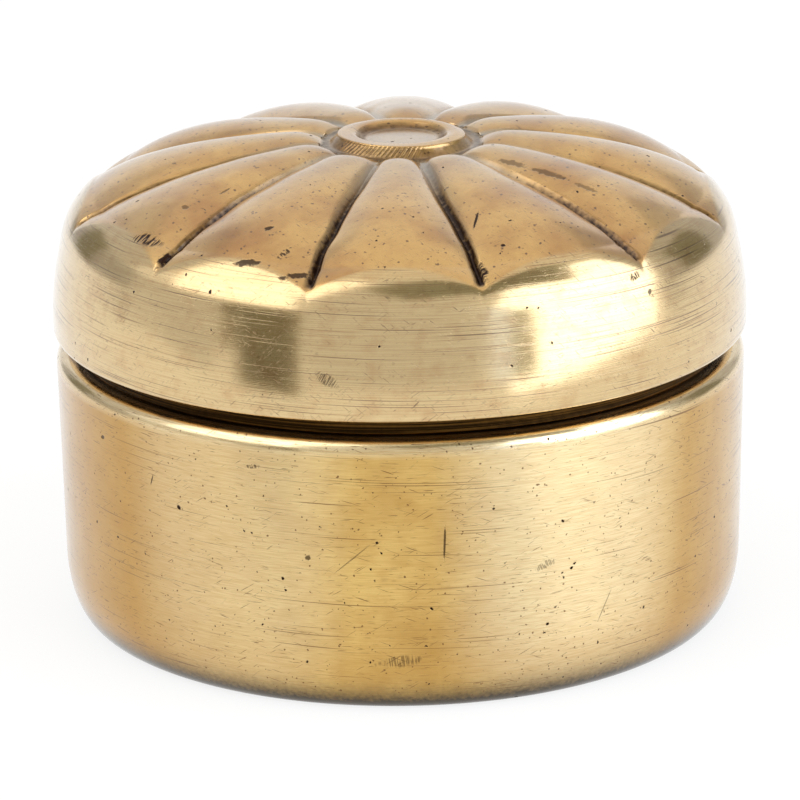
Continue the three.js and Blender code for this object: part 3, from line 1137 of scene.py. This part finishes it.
    def shape_boss(self, vert: bmesh.types.BMVert, radius: float, angle: float) -> None:
        """Softens the boss's rim away from its crisp side and files slanting marks into its front.

        Args:
            vert: a point of the boss, which is moved.
            radius: its distance from the axis.
            angle: its angle from the front.
        """
        crisp = 0.5 + 0.5 * math.cos(math.radians(angle - self.boss_crisp_side))
        slump = smoothstep(self.boss_soft_radius, self.boss_lip_radius + 0.3, radius)
        slump *= smoothstep(self.valley_radius, self.boss_lip_radius + 0.3, radius)
        vert.co.z -= self.boss_slump * (1 - crisp) * slump * MM
        inwards = Vector((vert.co.x, vert.co.y, 0)).normalized()
        vert.co -= inwards * self.file_mark_depth * self.filed(radius, angle, vert.co.z / MM) * MM

    def filed(self, radius: float, angle: float, height: float) -> float:
        """How deep the slanting file marks are on the boss's side, from 0 to 1."""
        first, last = self.file_marks
        reach = smoothstep(first, first + 12, angle) * smoothstep(last, last - 15, angle)
        reach *= smoothstep(self.boss_lip_radius - 0.1, self.boss_lip_radius + 0.2, radius)
        reach *= smoothstep(self.valley_radius, self.boss_lip_radius + 0.9, radius)
        across = math.radians(angle) * self.boss_lip_radius - self.file_mark_slant * height
        return reach * (0.5 + 0.5 * math.cos(math.tau * across / self.file_mark_pitch))

    def boss_shade_and_patina(self, radius: float, angle: float, height: float, top: float) -> float:
        """How dark the boss is, with painted shade and patina.

        Args:
            radius: distance from the axis.
            angle: angle from the front.
            height: height above the underside.
            top: height of the boss's rim.

        Returns:
            Its darkness from 0 to 1: most as painted shade in the crease at its foot and on the well's wall
                and as patina in file marks, less as painted shade on its side.
        """
        if radius < self.boss_lip_radius - 1:
            return self.well_wall_shade * smoothstep(0.2, 0.6, top - height) * smoothstep(4.9, 5.5, radius)
        crease = smoothstep(self.boss_lip_radius + 0.9, self.valley_radius - 0.4, radius)
        side = smoothstep(self.boss_lip_radius - 0.1, self.boss_lip_radius + 0.3, radius)
        marked = self.filed_patina * self.filed(radius, angle, height)
        return max(self.crease_shade * crease, self.side_shade * side, marked)

    def build(self, outside: bpy.types.Material, inside: bpy.types.Material) -> bpy.types.Object:
        """Builds the lid.

        Args:
            outside: finish of the band, the dome and the boss.
            inside: finish of the hollow and the rebate.

        Returns:
            The finished piece, riding on its body.
        """
        bm = self.outline().turned(self.steps)
        self.carve(bm)
        piece = finished(bm, "cast_lid", outside, {Zone.INSIDE: inside})
        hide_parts(self.node)
        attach(piece, "lid")
        return piece


@dataclass(frozen=True)
class Card:
    """A studio card, seen only in reflections, that faces the pot.

    Attributes:
        name: its name.
        azimuth: angle of its middle from the front.
        elevation: angle of its middle above the horizon.
        width: how wide it looks from the pot, in degrees.
        height: how high it looks.
        level: its brightness, where 1 is white.
        distance: how far off it stands, in metres.
        colour: its colour.
    """

    name: str
    azimuth: float
    elevation: float
    width: float
    height: float
    level: float
    distance: float = 1.2
    colour: str = "FFFFFF"

    def plane(self) -> tuple[Matrix, float, float]:
        """Where it stands and its width and height in metres."""
        aim = towards(self.azimuth, self.elevation)
        turn = aim.to_track_quat("Z", "Y").to_matrix().to_4x4()
        width = 2 * self.distance * math.tan(math.radians(self.width / 2))
        height = 2 * self.distance * math.tan(math.radians(self.height / 2))
        return Matrix.Translation(aim * self.distance) @ turn, width, height

    def build(self) -> None:
        """Builds it as a plain glowing sheet on the stage."""
        place, width, height = self.plane()
        bm = bmesh.new()
        bmesh.ops.create_grid(bm, x_segments=1, y_segments=1, size=0.5)
        bmesh.ops.scale(bm, verts=bm.verts, vec=(width, height, 1))
        bmesh.ops.transform(bm, matrix=place, verts=bm.verts)
        paint = bpy.data.materials.new(self.name)
        tree = cleared(paint)
        glow = add(tree, "Emission", {"Color": linear(self.colour), "Strength": self.level})
        add(tree, "OutputMaterial", {"Surface": glow})
        card = linked(bm, self.name, paint)
        card.visible_camera = card.visible_diffuse = False


@dataclass(frozen=True)
class Softbox(Card):
    """A soft lamp, placed as a card is; level is its brightness as the metal mirrors it."""

    def build(self) -> None:
        """Builds it as an area lamp."""
        place, width, height = self.plane()
        lamp = bpy.data.lights.new(self.name, "AREA")
        lamp.shape = "RECTANGLE"
        lamp.size, lamp.size_y = width, height
        lamp.energy = self.level * math.pi * width * height
        lamp.color = linear(self.colour)[:3]
        light = placed(self.name, lamp)
        light.matrix_world = place
        light.visible_camera = False


@dataclass
class Studio:
    """A white table in a white room, with softboxes at both sides and a dim room behind the camera."""

    table_front: float = 0.19
    table_size: float = 3.0
    table_gap: float = 2e-5
    table_colour: str = "F2F2F0"
    table_glow: float = 0.82  # how much of it looks plain white, so that only a faint shadow shows
    cards: tuple[Card, ...] = (
        Card("dim_room", -1, 31, 62, 78, 0.75),
        Card("black_flag_head", -46, 11, 27, 13, 0.28, 1.1, "E6E2CC"),
        Card("black_flag_foot", -42, -1, 20, 24, 0.26, 1.1, "E6E2CC"),
        Card("grey_flag", 39.5, 4, 8, 19, 0.62, 1.0, "E6E8DC"),
        Card("pale_flag", 32.5, 7, 8, 26, 1.6, 1.1, "D8E5FF"),
        Card("lamp_boom", 36, 57, 52, 24, 0.4, 1.0, "DCDCC8"),
        Card("dark_doorway", 118, 17, 20, 26, 0.34, 1.0, "D8D6BE"),
        Card("dark_shelf", -131, 13, 15, 22, 0.36, 1.0, "D8D6BE"),
        Card("ceiling", 180, 80, 110, 74, 0.88, 1.4, "FFFAF2"),
        Card("backdrop", 180, 21, 130, 40, 0.86, 1.6),
        Card("left_wall_far", -124, 4, 50, 34, 0.48, 1.4),
        Card("left_wall_near", -80, 4, 38, 34, 0.72, 1.4),
        Card("left_wall_head", -128, 32, 44, 40, 0.64, 1.5),
        Card("right_wall", 122, 18, 54, 62, 0.54, 1.4),
        Softbox("left_softbox", -55, 46, 54, 50, 1.25, 1.3),
        Softbox("right_softbox", 62, 20, 60, 72, 2.4, 1.3, "E6EFFF"),
    )

    def build_table(self) -> None:
        """Builds the table top: nearly white, with room for the pot's faint shadow."""
        bm = bmesh.new()
        bmesh.ops.create_grid(bm, x_segments=1, y_segments=1, size=self.table_size / 2)
        middle = (0, self.table_size / 2 - self.table_front, -self.table_gap)
        bmesh.ops.translate(bm, verts=bm.verts, vec=middle)
        paint = bpy.data.materials.new("white_table_top")
        tree = cleared(paint)
        rays = ("Camera", "Glossy", "Transmission")
        seen = strongest(tree, *(add(tree, "LightPath", output=f"Is {ray} Ray") for ray in rays))
        share = add(tree, "Math", {0: seen, 1: self.table_glow}, operation="MULTIPLY")
        matt = add(tree, "BsdfDiffuse", {"Color": linear(self.table_colour)})
        glow = add(tree, "Emission", {"Color": linear("FFFFFF"), "Strength": 1.0})
        surface = add(tree, "MixShader", {"Fac": share, 1: matt, 2: glow})
        add(tree, "OutputMaterial", {"Surface": surface})
        linked(bm, "table_top", paint)

    def build_world(self) -> None:
        """Builds the white room."""
        world = bpy.data.worlds.new("white_room")
        tree = cleared(world)
        sky = add(tree, "Background", {"Color": linear("FFFFFF"), "Strength": 1.0})
        add(tree, "OutputWorld", {"Surface": sky})
        bpy.context.scene.world = world

    def build(self) -> None:
        """Builds everything that stands round the pot."""
        self.build_world()
        self.build_table()
        for card in self.cards:
            card.build()


@dataclass
class Camera:
    """The photograph's camera, fitted to the pot's outline in the picture."""

    aim: tuple[float, float, float] = (-0.153, 0.0, 29.689)
    distance: float = 620.0
    elevation: float = 17.646
    lens: float = 190.4
    roll: float = -0.793

    def build(self) -> None:
        """Builds the camera and makes it the scene's own."""
        data = bpy.data.cameras.new("photograph")
        data.lens = self.lens
        data.sensor_width = 36.0
        camera = placed("photograph", data)
        back = towards(0, self.elevation)
        camera.rotation_mode = "QUATERNION"
        camera.location = (Vector(self.aim) + back * self.distance) * MM
        rolled = Quaternion((0, 0, 1), math.radians(self.roll))
        camera.rotation_quaternion = (-back).to_track_quat("-Z", "Y") @ rolled
        bpy.context.scene.camera = camera


def main() -> None:
    """Builds the pot, its lid, the studio and the camera."""
    logging.basicConfig(level=logging.INFO, format="%(name)s: %(message)s")
    inside = CastBrass().material()
    pieces = [
        PotBody().build(TurnedBrass().material(), inside, ShadedRecessBrass().material()),
        Lid().build(RubbedBrass().material(), inside),
    ]
    for piece in pieces:
        mesh = piece.data
        log.info("%s: %d vertices, %d faces", piece.name, len(mesh.vertices), len(mesh.polygons))
    Studio().build()
    Camera().build()
    bpy.context.scene.view_settings.view_transform = "Standard"


if __name__ == "__main__":
    main()
